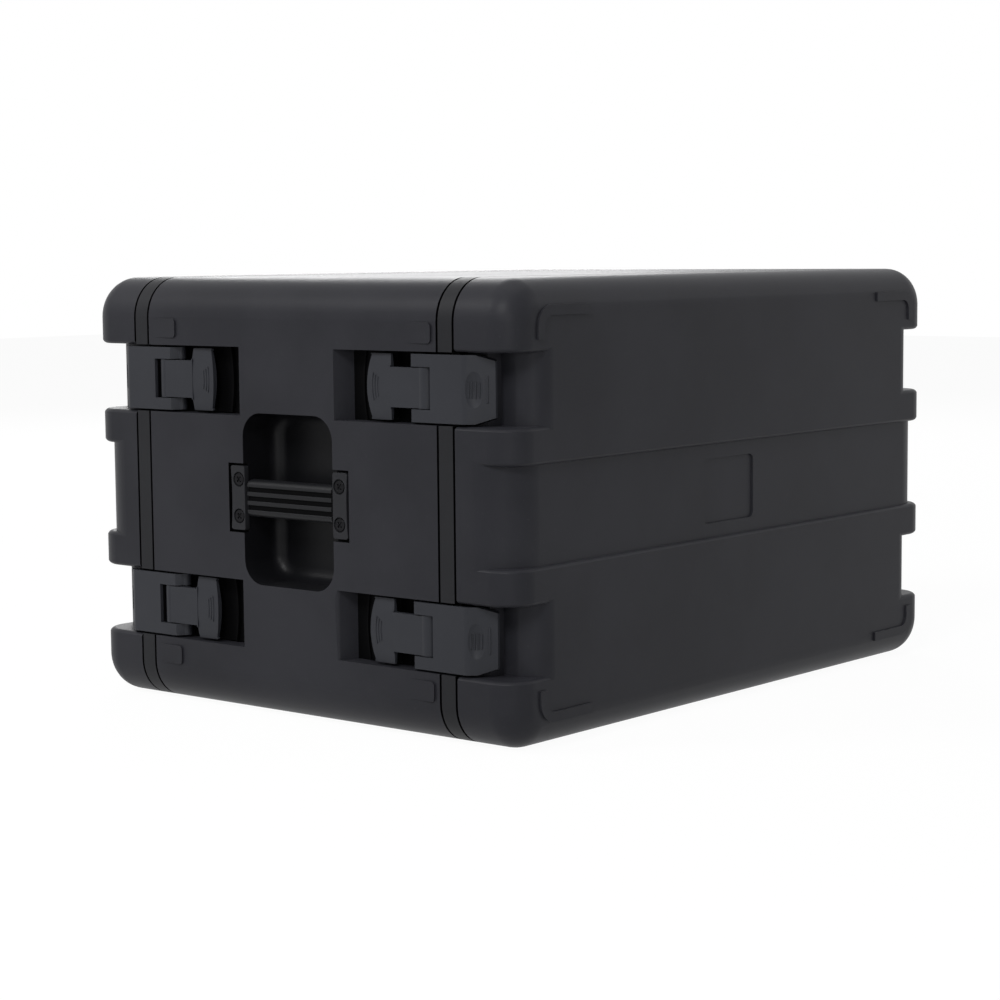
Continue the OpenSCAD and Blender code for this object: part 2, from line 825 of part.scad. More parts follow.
module strap() {
    color([0.6, 0.6, 0.6])
        translate([-end_deep - tongue_lap / 2 - strap_t / 2, -tongue_far, -strap_h / 2])
            cube([strap_t, 2 * tongue_far, strap_h]);
}

module end_plates() {
    color([0.24, 0.24, 0.24]) both_ends() difference() {
        translate([-end_deep, 0, 0]) rotate([90, 0, 90]) linear_extrude(end_t)
            translate([end_near + end_w / 2, 0]) rounded(end_w, end_h, end_r);
        translate([-2 * end_deep, end_near + end_w - over + end_bow_r, 0]) rotate([0, 90, 0])
            cylinder(h = 4 * end_deep, r = end_bow_r, $fn = 2 * fine);
        for (z = [-1, 1]) translate([-2 * end_deep, screw_u, z * screw_row]) rotate([0, 90, 0]) {
            cylinder(h = 4 * end_deep, r = screw_r + fit);
            translate([0, 0, end_deep + end_t - sink_d]) cylinder(h = end_deep, r = sink_r);
        }
    }
}

module handle_screws() {
    seat = -end_deep + end_t - sink_d;
    color([0.12, 0.12, 0.12]) both_ends() for (z = [-1, 1])
        translate([seat, screw_u, z * screw_row]) rotate([0, 90, 0]) difference() {
            union() {
                cylinder(h = screw_head_t, r = screw_head_r);
                translate([0, 0, -screw_len - seat - end_deep + over])
                    cylinder(h = screw_len + seat + end_deep - over, r = screw_r);
            }
            for (a = [0, 90]) rotate([0, 0, a + 45])
                translate([-slot_len / 2, -slot_w / 2, screw_head_t - slot_deep])
                    cube([slot_len, slot_w, 2 * slot_deep]);
        }
}

// Rack rail: folded steel angle, tapped holes in its face
module rail() {
    difference() {
        union() {
            translate([rail_x, rail_u - rail_t, half_h - rail_half])
                cube([rail_out - rail_x, rail_t, 2 * rail_half]);
            translate([rail_out - rail_t, rail_u - rail_back, half_h - rail_half])
                cube([rail_t, rail_back, 2 * rail_half]);
        }
        for (n = [0 : units - 1]) for (z = hole_rows)
            translate([rail_x + hole_in, rail_u + over, half_h - rack_h / 2 + n * unit_h + z])
                rotate([90, 0, 0]) cylinder(h = rail_t + 2 * over, r = rail_hole / 2);
        for (z = post_rows) translate([rail_out - 2 * rail_t, (post_near + post_far) / 2, half_h + z])
            rotate([0, 90, 0]) cylinder(h = 4 * rail_t, r = post_screw_r);
    }
}

module rail_at(e, s) {
    color([0.1, 0.1, 0.11]) mirror([s < 0 ? 1 : 0, 0, 0]) mirror([0, e < 0 ? 1 : 0, 0]) rail();
}

module rail_screws() {
    color([0.6, 0.6, 0.61]) for (s = [-1, 1]) at_side(s) both_ends() for (z = post_rows)
        translate([-post_t, (post_near + post_far) / 2, z]) rotate([0, 90, 0]) {
            translate([0, 0, -rail_t]) cylinder(h = rail_t + post_screw_len, r = post_screw_r);
            translate([0, 0, -rail_t - post_head_t]) cylinder(h = post_head_t, r = post_head_r);
        }
}

body_shell();
side_walls();
latch_trays();
at_side(-1) handle_cup();  // left_handle_cup
at_side(1) handle_cup();  // right_handle_cup
rail_bosses();
front() rim_ring();  // front_rim
rear() rim_ring();  // rear_rim
front() gasket();  // front_gasket
rear() gasket();  // rear_gasket
front() color([0.2, 0.2, 0.21]) lid();  // front_lid
rear() color([0.2, 0.2, 0.21]) lid();  // rear_lid
at_latch(-1, -1, 1) plate();  // plate_front_left_upper
at_latch(-1, -1, -1) plate();  // plate_front_left_lower
at_latch(-1, 1, 1) plate();  // plate_front_right_upper
at_latch(-1, 1, -1) plate();  // plate_front_right_lower
at_latch(1, -1, 1) plate();  // plate_rear_left_upper
at_latch(1, -1, -1) plate();  // plate_rear_left_lower
at_latch(1, 1, 1) plate();  // plate_rear_right_upper
at_latch(1, 1, -1) plate();  // plate_rear_right_lower
at_latch(-1, -1, 1) lever();  // lever_front_left_upper
at_latch(-1, -1, -1) lever();  // lever_front_left_lower
at_latch(-1, 1, 1) lever();  // lever_front_right_upper
at_latch(-1, 1, -1) lever();  // lever_front_right_lower
at_latch(1, -1, 1) lever();  // lever_rear_left_upper
at_latch(1, -1, -1) lever();  // lever_rear_left_lower
at_latch(1, 1, 1) lever();  // lever_rear_right_upper
at_latch(1, 1, -1) lever();  // lever_rear_right_lower
latch_bases();
latch_pins();
latch_rivets();
at_side(-1) grip();  // left_grip
at_side(1) grip();  // right_grip
at_side(-1) strap();  // left_strap
at_side(1) strap();  // right_strap
at_side(-1) end_plates();  // left_end_plates
at_side(1) end_plates();  // right_end_plates
at_side(-1) handle_screws();  // left_handle_screws
at_side(1) handle_screws();  // right_handle_screws
rail_at(-1, -1);  // front_left_rail
rail_at(-1, 1);  // front_right_rail
rail_at(1, -1);  // rear_left_rail
rail_at(1, 1);  // rear_right_rail
rail_screws();
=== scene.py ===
"""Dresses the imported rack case: softened mouldings, latch details, finishes, studio and camera."""

import logging
import math
from dataclasses import dataclass, field
from enum import Enum
from typing import Callable, Dict, List, Sequence, Tuple, Union

import bpy
from mathutils import Matrix, Vector

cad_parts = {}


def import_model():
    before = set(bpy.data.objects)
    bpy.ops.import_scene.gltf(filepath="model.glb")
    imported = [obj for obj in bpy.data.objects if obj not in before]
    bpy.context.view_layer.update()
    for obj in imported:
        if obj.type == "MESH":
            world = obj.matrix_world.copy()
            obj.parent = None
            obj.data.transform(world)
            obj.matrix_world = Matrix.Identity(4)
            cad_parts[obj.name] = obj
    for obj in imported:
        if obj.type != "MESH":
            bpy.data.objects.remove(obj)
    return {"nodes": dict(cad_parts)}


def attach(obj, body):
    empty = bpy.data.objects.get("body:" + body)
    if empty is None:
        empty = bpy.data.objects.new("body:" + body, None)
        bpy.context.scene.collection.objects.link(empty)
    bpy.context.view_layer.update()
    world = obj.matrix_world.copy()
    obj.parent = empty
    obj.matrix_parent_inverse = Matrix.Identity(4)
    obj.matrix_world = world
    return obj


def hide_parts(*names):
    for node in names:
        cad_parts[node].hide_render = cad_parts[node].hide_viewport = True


LOG = logging.getLogger("rack_case")
Triple = Tuple[float, float, float]
Colour = Triple
Span = Tuple[float, float]
Operand = Union["Value", float]
PointTest = Callable[[Vector], bool]
EdgeTest = Callable[[Vector, Vector], bool]

# Height of the case's middle plane, in metres.
MIDDLE = 0.1700
# Points of a solid that are closer than this, in metres, are one point.
WELD = 0.000004
# Faces that turn less than this, in degrees, are one flat face.
FLAT_TURN = 0.6
# Edges that turn less than this, in degrees, are shaded smooth.
SMOOTH_TURN = 40.0
# How much more the large faces count than the small ones in the shading.
SHADING_WEIGHT = 60
# The value that a noise varies about.
NOISE_MEAN = 0.5


class End(Enum):
    """The two open ends of the case, by their sign along Y."""

    FRONT = -1
    REAR = 1


class Side(Enum):
    """The two handle sides of the case, by their sign along X."""

    LEFT = -1
    RIGHT = 1


class Row(Enum):
    """The two rows of latches, by their sign along Z."""

    UPPER = 1
    LOWER = -1


class Grain(Enum):
    """How deep a moulded surface is eroded, as bump distance in metres."""

    FINE = 0.00006
    MEDIUM = 0.00011


class Mark(Enum):
    """What is selected in a mesh."""

    POINT = "VERT"
    EDGE = "EDGE"


class Solid(Enum):
    """What a second solid does to the first."""

    ADD = "UNION"
    CUT = "DIFFERENCE"


class Coat(Enum):
    """The further materials of a moulding, which paint shade, by their place in its list."""

    # Near-black painted shade in the seams, recess floors, clamp seats and grip grooves.
    LINING = 1
    # Painted shade inside the handle pockets.
    POCKET = 2


Spot = Tuple[End, Side, Row]


class Value:
    """One output of a shader node, with arithmetic that adds Math nodes."""

    def __init__(self, graph: "Graph", socket: bpy.types.NodeSocket) -> None:
        """Keeps the socket and the graph of its node."""
        self.graph = graph
        self.socket = socket

    def _math(self, operation: str, left: Operand, right: Operand) -> "Value":
        """Adds one Math node and gives its result."""
        node = self.graph.add("ShaderNodeMath", {"operation": operation}, {0: left, 1: right})
        return Value(self.graph, node.outputs[0])

    def __add__(self, other: Operand) -> "Value":
        """Sum."""
        return self._math("ADD", self, other)

    def __radd__(self, other: Operand) -> "Value":
        """Sum, number first."""
        return self._math("ADD", other, self)

    def __sub__(self, other: Operand) -> "Value":
        """Difference."""
        return self._math("SUBTRACT", self, other)

    def __rsub__(self, other: Operand) -> "Value":
        """Difference, number first."""
        return self._math("SUBTRACT", other, self)

    def __mul__(self, other: Operand) -> "Value":
        """Product."""
        return self._math("MULTIPLY", self, other)

    def __rmul__(self, other: Operand) -> "Value":
        """Product, number first."""
        return self._math("MULTIPLY", other, self)

    def between(self, low: float, high: float) -> "Value":
        """Stretches low..high to 0..1 with soft ends.

        Args:
            low: Value that becomes 0.
            high: Value that becomes 1.

        Returns:
            The stretched value.
        """
        settings = {"interpolation_type": "SMOOTHSTEP"}
        inputs = {"Value": self, "From Min": low, "From Max": high}
        node = self.graph.add("ShaderNodeMapRange", settings, inputs)
        return Value(self.graph, node.outputs["Result"])


class Graph:
    """The node tree of one material or world."""

    def __init__(self, owner: Union[bpy.types.Material, bpy.types.World]) -> None:
        """Empties the node tree.

        Args:
            owner: The new material or world.
        """
        self.owner = owner
        self.owner.use_nodes = True
        self.tree = self.owner.node_tree
        self.tree.nodes.clear()

    def add(self, kind: str, settings: Dict[str, object],
            inputs: Dict[Union[str, int], object]) -> bpy.types.Node:
        """Adds one node.

        Args:
            kind: The node's type.
            settings: Properties that are set before the sockets.
            inputs: Values, numbers or colours by socket name or number.

        Returns:
            The new node.
        """
        node = self.tree.nodes.new(kind)
        for key, value in settings.items():
            setattr(node, key, value)
        for key, value in inputs.items():
            if isinstance(value, Value):
                self.tree.links.new(value.socket, node.inputs[key])
            else:
                node.inputs[key].default_value = value
        return node

    def place(self) -> Value:
        """The point on the piece, in metres."""
        return Value(self, self.add("ShaderNodeTexCoord", {}, {}).outputs["Object"])

    def noise(self, at: Value, scale: float, detail: float, rough: float) -> Value:
        """Cloudy noise of so many cells per metre, with finer layers."""
        inputs = {"Vector": at, "Scale": scale, "Detail": detail, "Roughness": rough}
        return Value(self, self.add("ShaderNodeTexNoise", {}, inputs).outputs["Fac"])

    def cells(self, at: Value, scale: float) -> Value:
        """Distance to the nearest of many scattered points, as a share of a cell."""
        node = self.add("ShaderNodeTexVoronoi", {"feature": "F1"}, {"Vector": at, "Scale": scale})
        return Value(self, node.outputs["Distance"])

    def stretched(self, at: Value, scale: Triple) -> Value:
        """The point with its axes scaled."""
        node = self.add("ShaderNodeMapping", {}, {"Vector": at, "Scale": scale})
        return Value(self, node.outputs["Vector"])

    def blend(self, amount: Operand, dark: Colour, light: Colour) -> Value:
        """Mixes two colours: an amount of 0 gives the first, 1 the second."""
        inputs = {0: amount, 6: (*dark, 1.0), 7: (*light, 1.0)}
        return Value(self, self.add("ShaderNodeMix", {"data_type": "RGBA"}, inputs).outputs[2])

    def bump(self, height: Value, distance: float, strength: float) -> Value:
        """Turns a height of 0 to 1 into a normal, by its depth in metres and its strength."""
        inputs = {"Height": height, "Distance": distance, "Strength": strength}
        return Value(self, self.add("ShaderNodeBump", {}, inputs).outputs["Normal"])

    def finish(self, inputs: Dict[str, object]) -> bpy.types.Material:
        """Adds the surface shader and the output.

        Args:
            inputs: Values of the shader's sockets.

        Returns:
            The material.
        """
        shader = self.add("ShaderNodeBsdfPrincipled", {}, inputs)
        surface = Value(self, shader.outputs["BSDF"])
        self.add("ShaderNodeOutputMaterial", {}, {"Surface": surface})
        return self.owner


@dataclass(frozen=True)
class Moulded:
    """A moulded plastic with an eroded grain, faint clouds, lighter specks that paint glints of its
    sparkle, and light handling marks.
    """

    name: str
    dark: Colour
    light: Colour
    gloss: float
    grain: Grain
    grain_scale: float = 1500.0
    level: float = 0.35
    pit_share: float = 0.8
    cloud_scale: float = 9.0
    glint_scale: float = 420.0
    rub_scale: float = 26.0
    rub_stretch: Triple = (1.0, 1.0, 9.0)
    tone_mix: Triple = (0.5, 0.3, 0.35)
    relief_mix: Span = (0.65, 0.35)
    rough_mix: Triple = (0.12, 0.14, 0.05)
    relief: float = 0.55

    def make(self) -> bpy.types.Material:
        """Builds the material.

        Returns:
            The material.
        """
        g = Graph(bpy.data.materials.new(self.name))
        at = g.place()
        grain = g.noise(at, self.grain_scale, 3.0, 0.6)
        pits = g.cells(at, self.grain_scale * self.pit_share)
        clouds = g.noise(at, self.cloud_scale, 4.0, 0.55)
        # Lighter specks in the colour: painted glints of the grain's sparkle.
        painted_glints = g.noise(at, self.glint_scale, 2.0, 0.5).between(0.66, 0.78)
        strokes = g.noise(g.stretched(at, self.rub_stretch), self.rub_scale, 5.0, 0.7)
        rubs = strokes.between(0.6, 0.8)
        cloud, fine, glint_share = self.tone_mix
        tone = clouds.between(0.3, 0.7) * cloud + grain * fine + painted_glints * glint_share
        raised, sunk = self.relief_mix
        height = grain * raised + pits * sunk
        cloud, fine, rub = self.rough_mix
        rough = (self.gloss + (clouds - NOISE_MEAN) * cloud + (grain - NOISE_MEAN) * fine
                 - rubs * rub)
        return g.finish({
            "Base Color": g.blend(tone, self.dark, self.light),
            "Roughness": rough,
            "Specular IOR Level": self.level,
            "Normal": g.bump(height, self.grain.value, self.relief),
        })


@dataclass(frozen=True)
class Rubber:
    """A dull black seal rubber with dust in its pores."""

    name: str
    dark: Colour
    light: Colour
    gloss: float = 0.72
    level: float = 0.25
    pore_scale: float = 1900.0
    pore_deep: float = 0.00008
    dust_scale: float = 55.0
    dust_mix: Span = (0.6, 0.2)
    rough_mix: float = 0.2
    relief: float = 0.5

    def make(self) -> bpy.types.Material:
        """Builds the material.

        Returns:
            The material.
        """
        g = Graph(bpy.data.materials.new(self.name))
        at = g.place()
        pores = g.noise(at, self.pore_scale, 2.0, 0.5)
        dust = g.noise(at, self.dust_scale, 5.0, 0.65).between(0.55, 0.8)
        return g.finish({
            "Base Color": g.blend(dust * self.dust_mix[0] + pores * self.dust_mix[1],
                                  self.dark, self.light),
            "Roughness": self.gloss + (pores - NOISE_MEAN) * self.rough_mix,
            "Specular IOR Level": self.level,
            "Normal": g.bump(pores, self.pore_deep, self.relief),
        })


@dataclass(frozen=True)
class Steel:
    """Plated or coated steel with drawing lines along one direction."""

    name: str
    dark: Colour
    light: Colour
    metal: float
    gloss: float
    lines: Triple = (1.0, 1.0, 0.06)
    level: float = 0.5
    line_scale: float = 1400.0
    line_deep: float = 0.00004
    stain_scale: float = 38.0
    tone_mix: Span = (0.7, 0.3)
    rough_mix: Span = (0.18, 0.1)
    relief: float = 0.4

    def make(self) -> bpy.types.Material:
        """Builds the material.

        Returns:
            The material.
        """
        g = Graph(bpy.data.materials.new(self.name))
        at = g.place()
        drawn = g.noise(g.stretched(at, self.lines), self.line_scale, 3.0, 0.6)
        stains = g.noise(at, self.stain_scale, 4.0, 0.6)
        return g.finish({
            "Base Color": g.blend(stains * self.tone_mix[0] + drawn * self.tone_mix[1],
                                  self.dark, self.light),
            "Metallic": self.metal,
            "Specular IOR Level": self.level,
            "Roughness": (self.gloss + (drawn - NOISE_MEAN) * self.rough_mix[0]
                          + (stains - NOISE_MEAN) * self.rough_mix[1]),
            "Normal": g.bump(drawn, self.line_deep, self.relief),
        })


SHELL = Moulded("shell_plastic", (0.0192, 0.0194, 0.0236), (0.0342, 0.0346, 0.0408),
                0.43, Grain.MEDIUM, level=0.11)
RIM = Moulded("rim_plastic", (0.0140, 0.0143, 0.0162), (0.0240, 0.0245, 0.0275),
              0.50, Grain.FINE, level=0.12)
LATCH = Moulded("latch_plastic", (0.0255, 0.0268, 0.0322), (0.0370, 0.0390, 0.0462),
                0.42, Grain.FINE, 2200.0, 0.16)
# Near-black plastic: the real colour of the latch brackets, and also painted shade in the seams,
# recess floors, clamp seats and grip grooves.
BRACKET_AND_SHADE = Moulded("bracket_plastic", (0.0012, 0.0012, 0.0014), (0.0030, 0.0030, 0.0034),
                  0.60, Grain.FINE, level=0.03)
# A darker copy of the shell plastic, which paints shade inside the handle pockets.
POCKET = Moulded("pocket_plastic", (0.0055, 0.0056, 0.0066), (0.0100, 0.0101, 0.0118),
                 0.36, Grain.MEDIUM, level=0.12)
GRIP = Moulded("grip_plastic", (0.0095, 0.0098, 0.0112), (0.0158, 0.0162, 0.0184),
               0.38, Grain.MEDIUM, level=0.14)
CLAMP = Moulded("clamp_plastic", (0.0180, 0.0184, 0.0210), (0.0290, 0.0295, 0.0330),
                0.42, Grain.FINE, level=0.12)
SEAL = Rubber("seal_rubber", (0.0030, 0.0030, 0.0030), (0.0090, 0.0088, 0.0084))
PLATED = Steel("plated_steel", (0.34, 0.35, 0.36), (0.55, 0.56, 0.58), 1.0, 0.34)
BLACKED = Steel("blacked_steel", (0.004, 0.004, 0.005), (0.012, 0.012, 0.014), 0.2, 0.24,
                level=0.10)
COATED = Steel("coated_steel", (0.012, 0.012, 0.012), (0.024, 0.024, 0.025), 0.0, 0.42)
Finish = Union[Moulded, Rubber, Steel]


class Bench:
    """Hand tools: every piece is made, shaped and finished with these."""

    def __init__(self, nodes: Dict[str, bpy.types.Object]) -> None:
        """Keeps the CAD nodes, with no material made yet."""
        self.nodes = nodes
        self.made: Dict[str, bpy.types.Material] = {}

    def finish_of(self, finish: Finish) -> bpy.types.Material:
        """The material of a finish, made once.

        Args:
            finish: The finish.

        Returns:
            Its material.
        """
        if finish.name not in self.made:
            self.made[finish.name] = finish.make()
        return self.made[finish.name]

    def dress(self, piece: bpy.types.Object, finish: Finish) -> None:
        """Gives a piece or a CAD node one material."""
        piece.data.materials.clear()
        piece.data.materials.append(self.finish_of(finish))

    def clear(self) -> None:
        """Leaves edit mode and deselects everything."""
        if bpy.context.object and bpy.context.object.mode != "OBJECT":
            bpy.ops.object.mode_set(mode="OBJECT")
        bpy.ops.object.select_all(action="DESELECT")

    def take(self, piece: bpy.types.Object) -> None:
        """Selects one piece alone.

        Args:
            piece: The object.
        """
        self.clear()
        piece.select_set(True)
        bpy.context.view_layer.objects.active = piece

    def open_whole(self, piece: bpy.types.Object) -> None:
        """Opens a piece in edit mode with everything selected.

        Args:
            piece: The object.
        """
        self.take(piece)
        bpy.ops.object.mode_set(mode="EDIT")
        bpy.ops.mesh.select_all(action="SELECT")

    def unmark(self, piece: bpy.types.Object, kind: Mark) -> None:
        """Deselects everything in a piece, before some of it is selected in code.

        Args:
            piece: The object.
            kind: What is selected next.
        """
        self.take(piece)
        bpy.ops.object.mode_set(mode="EDIT")
        bpy.ops.mesh.select_mode(type=kind.value)
        bpy.ops.mesh.select_all(action="DESELECT")
        bpy.ops.object.mode_set(mode="OBJECT")

    def mark_points(self, piece: bpy.types.Object, test: PointTest) -> None:
        """Selects the points of a piece that pass a test, and opens edit mode.

        Args:
            piece: The object.
            test: A function of a point.
        """
        self.unmark(piece, Mark.POINT)
        for point in piece.data.vertices:
            point.select = bool(test(point.co))
        bpy.ops.object.mode_set(mode="EDIT")

    def face_outwards(self, piece: bpy.types.Object) -> None:
        """Turns the faces of a piece outwards.

        Args:
            piece: The object.
        """
        self.open_whole(piece)
        bpy.ops.mesh.normals_make_consistent(inside=False)
        bpy.ops.object.mode_set(mode="OBJECT")

    def soften(self, piece: bpy.types.Object, width: float, angle: float = 32.0,
               steps: int = 2) -> None:
        """Rounds the sharp edges of a piece.

        Args:
            piece: The object.
            width: Width of the rounding in metres.
            angle: Edges sharper than this many degrees are rounded.
            steps: Segments of the rounding.
        """
        self.take(piece)
        bevel = piece.modifiers.new("edges", "BEVEL")
        bevel.width = width
        bevel.segments = steps
        bevel.limit_method = "ANGLE"
        bevel.angle_limit = math.radians(angle)
        bevel.use_clamp_overlap = True
        bevel.miter_outer = "MITER_ARC"
        bpy.ops.object.modifier_apply(modifier=bevel.name)
        bpy.ops.object.shade_smooth_by_angle(angle=math.radians(SMOOTH_TURN))
        even = piece.modifiers.new("even_shading", "WEIGHTED_NORMAL")
        even.mode = "FACE_AREA_WITH_ANGLE"
        even.weight = SHADING_WEIGHT
        even.keep_sharp = True
        bpy.ops.object.modifier_apply(modifier=even.name)

    def shift(self, piece: bpy.types.Object, test: PointTest, move: Sequence[float]) -> None:
        """Moves chosen points of a piece.

        Args:
            piece: The object.
            test: A function of a point that says whether it moves.
            move: How far, in metres.
        """
        self.mark_points(piece, test)
        bpy.ops.transform.translate(value=tuple(move))
        bpy.ops.object.mode_set(mode="OBJECT")

    def round_edges(self, piece: bpy.types.Object, test: EdgeTest, width: float,
                    steps: int = 4) -> None:
        """Gives chosen edges of a piece a wide rounding.

        Args:
            piece: The object.
            test: A function of an edge's two ends that says whether it is rounded.
            width: Width of the rounding in metres.
            steps: Segments of the rounding.
        """
        self.unmark(piece, Mark.EDGE)
        points = piece.data.vertices
        count = 0
        for edge in piece.data.edges:
            first, second = edge.vertices
            edge.select = bool(test(points[first].co, points[second].co))
            count += edge.select
        bpy.ops.object.mode_set(mode="EDIT")
        if count:
            bpy.ops.mesh.bevel(offset=width, segments=steps, affect="EDGES", clamp_overlap=True)
        bpy.ops.object.mode_set(mode="OBJECT")

    def merged_copy(self, node: str) -> bpy.types.Object:
        """A copy of a node's solid with its loose triangles joined.

        Args:
            node: Name of the node.

        Returns:
            The copy, which rides on nothing yet.
        """
        source = self.nodes[node]
        piece = source.copy()
        piece.data = source.data.copy()
        piece.name = node + "_soft"
        for key in list(piece.keys()):
            if key.startswith("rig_"):
                del piece[key]
        bpy.context.scene.collection.objects.link(piece)
        piece.parent = None
        piece.matrix_world = Matrix.Identity(4)
        self.open_whole(piece)
        bpy.ops.mesh.remove_doubles(threshold=WELD)
        bpy.ops.object.mode_set(mode="OBJECT")
        return piece

    def flatten(self, piece: bpy.types.Object) -> None:
        """Joins the triangles of each flat face into one face.

        Args:
            piece: The object.
        """
        self.open_whole(piece)
        bpy.ops.mesh.remove_doubles(threshold=WELD)
        bpy.ops.mesh.dissolve_limited(angle_limit=math.radians(FLAT_TURN))
        bpy.ops.object.mode_set(mode="OBJECT")

    def combine(self, piece: bpy.types.Object, tool: bpy.types.Object, how: Solid) -> None:
        """Joins a second solid to a piece or cuts it out, and deletes the second.

        Args:
            piece: The object that stays.
            tool: The object that is used up.
            how: Whether the second is added or cut out.
        """
        self.take(piece)
        step = piece.modifiers.new("combine", "BOOLEAN")
        step.operation = how.value
        step.solver = "EXACT"
        step.object = tool
        bpy.ops.object.modifier_apply(modifier=step.name)
        self.drop(tool)

    def softened_node(self, node: str, width: float) -> bpy.types.Object:
        """A merged copy of a node's solid with rounded edges, which stands for the node.

        Args:
            node: Name of the node.
            width: Width of the rounding in metres.

        Returns:
            The new piece.
        """
        piece = self.merged_copy(node)
        self.flatten(piece)
        self.soften(piece, width)
        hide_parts(node)
        return piece

    def settle(self, piece: bpy.types.Object) -> None:
        """Puts a piece's place, turn and scale into its mesh."""
        self.take(piece)
        bpy.ops.object.transform_apply(location=True, rotation=True, scale=True)

    def copy_to(self, piece: bpy.types.Object, name: str, at: Matrix) -> bpy.types.Object:
        """A copy with its own mesh, moved by a matrix.

        Args:
            piece: The piece at its own frame.
            name: Name of the copy.
            at: Where it goes. It may mirror.

        Returns:
            The copy, with its place in its mesh and its faces outwards.
        """
        copy = piece.copy()
        copy.data = piece.data.copy()
        copy.name = name
        bpy.context.scene.collection.objects.link(copy)
        copy.matrix_world = Matrix.Identity(4)
        copy.data.transform(at)
        if at.to_3x3().determinant() < 0:
            self.open_whole(copy)
            bpy.ops.mesh.flip_normals()
            bpy.ops.object.mode_set(mode="OBJECT")
        return copy

    def join(self, pieces: Sequence[bpy.types.Object]) -> bpy.types.Object:
        """Makes several pieces one.

        Args:
            pieces: The objects.

        Returns:
            The first of them, which holds all the meshes.
        """
        self.take(pieces[0])
        for piece in pieces:
            piece.select_set(True)
        bpy.ops.object.join()
        return pieces[0]

    def drop(self, piece: bpy.types.Object) -> None:
        """Deletes a pattern piece."""
        self.take(piece)
        bpy.ops.object.delete()


@dataclass(frozen=True)
class Run:
    """A box for edges in a latch's own frame, alike above and below, and their rounding."""

    low: Triple
    high: Triple
    width: float

    def picker(self, back: Matrix) -> EdgeTest:
        """A test for the edges of a placed piece.

        Args:
            back: The matrix from the case's frame to the latch's own.

        Returns:
            A function of an edge's two ends.
        """
        def inside(first: Vector, second: Vector) -> bool:
            """Whether both ends lie in the box.

            Args:
                first: One end.
                second: The other end.

            Returns:
                True if both are inside.
            """
            for point in (back @ first, back @ second):
                spot = (point.x, point.y, abs(point.z))
                if any(v < a or v > b for v, a, b in zip(spot, self.low, self.high)):
                    return False
            return True
        return inside


@dataclass(frozen=True)
class Zone:
    """A box for faces: limits of the depth and of the length, and how far up and down."""

    deep: Span
    along: Span
    up: float

    def holds(self, deep: float, along: float, up: float) -> bool:
        """Whether a face's centre lies in the box."""
        return (self.deep[0] < deep < self.deep[1] and self.along[0] < along < self.along[1]
                and up < self.up)


